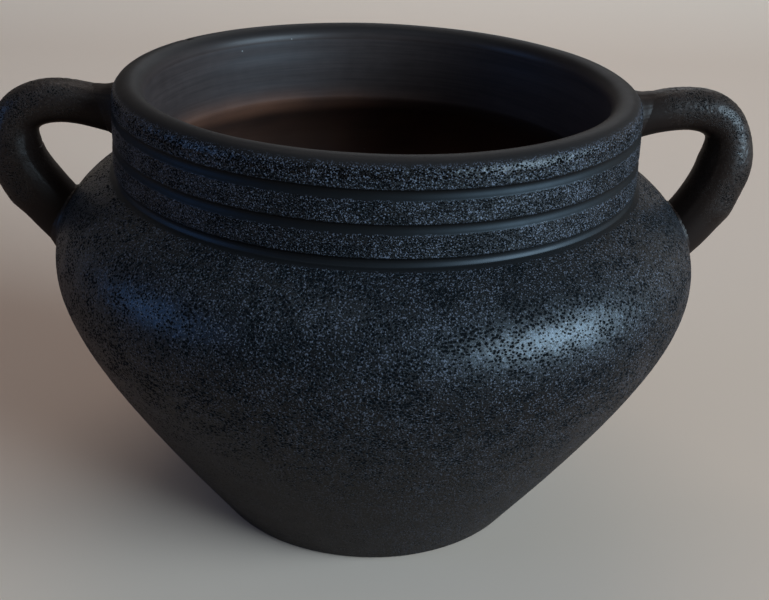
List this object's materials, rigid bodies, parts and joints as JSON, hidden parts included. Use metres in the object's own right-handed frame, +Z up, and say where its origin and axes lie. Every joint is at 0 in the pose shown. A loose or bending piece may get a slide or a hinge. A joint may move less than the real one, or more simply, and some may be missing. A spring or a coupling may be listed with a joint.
{
  "type": "two-handled vase",
  "caption": "Wide squat vase of black fired clay with a flat base, a full belly, a thick grooved collar, a rounded lip and a rolled loop handle on each side.",
  "frame": {"origin": "centre of the underside of the base, on the vase's axis", "axes": "+Z up along the vase's axis, +X towards the right handle as seen from the front, -Y towards the front"},
  "size_m": [0.3543, 0.297, 0.2083],
  "materials": {
    "scraped_clay": "matt satin, faint turning streaks",
    "grained_clay": "satin, pitted grain",
    "burnished_clay": "burnished satin",
    "handle_clay": "satin, finger smoothed"
  },
  "bodies": {
    "root": {"base_disc": "scraped_clay", "lower_wall": "scraped_clay", "shoulder_wall": "grained_clay", "neck_collar": "grained_clay", "rim_lip": "burnished_clay", "left_handle": "handle_clay", "left_upper_lute": "handle_clay", "left_lower_lute": "handle_clay", "right_handle": "handle_clay", "right_upper_lute": "handle_clay", "right_lower_lute": "handle_clay"}
  },
  "joints": []
}
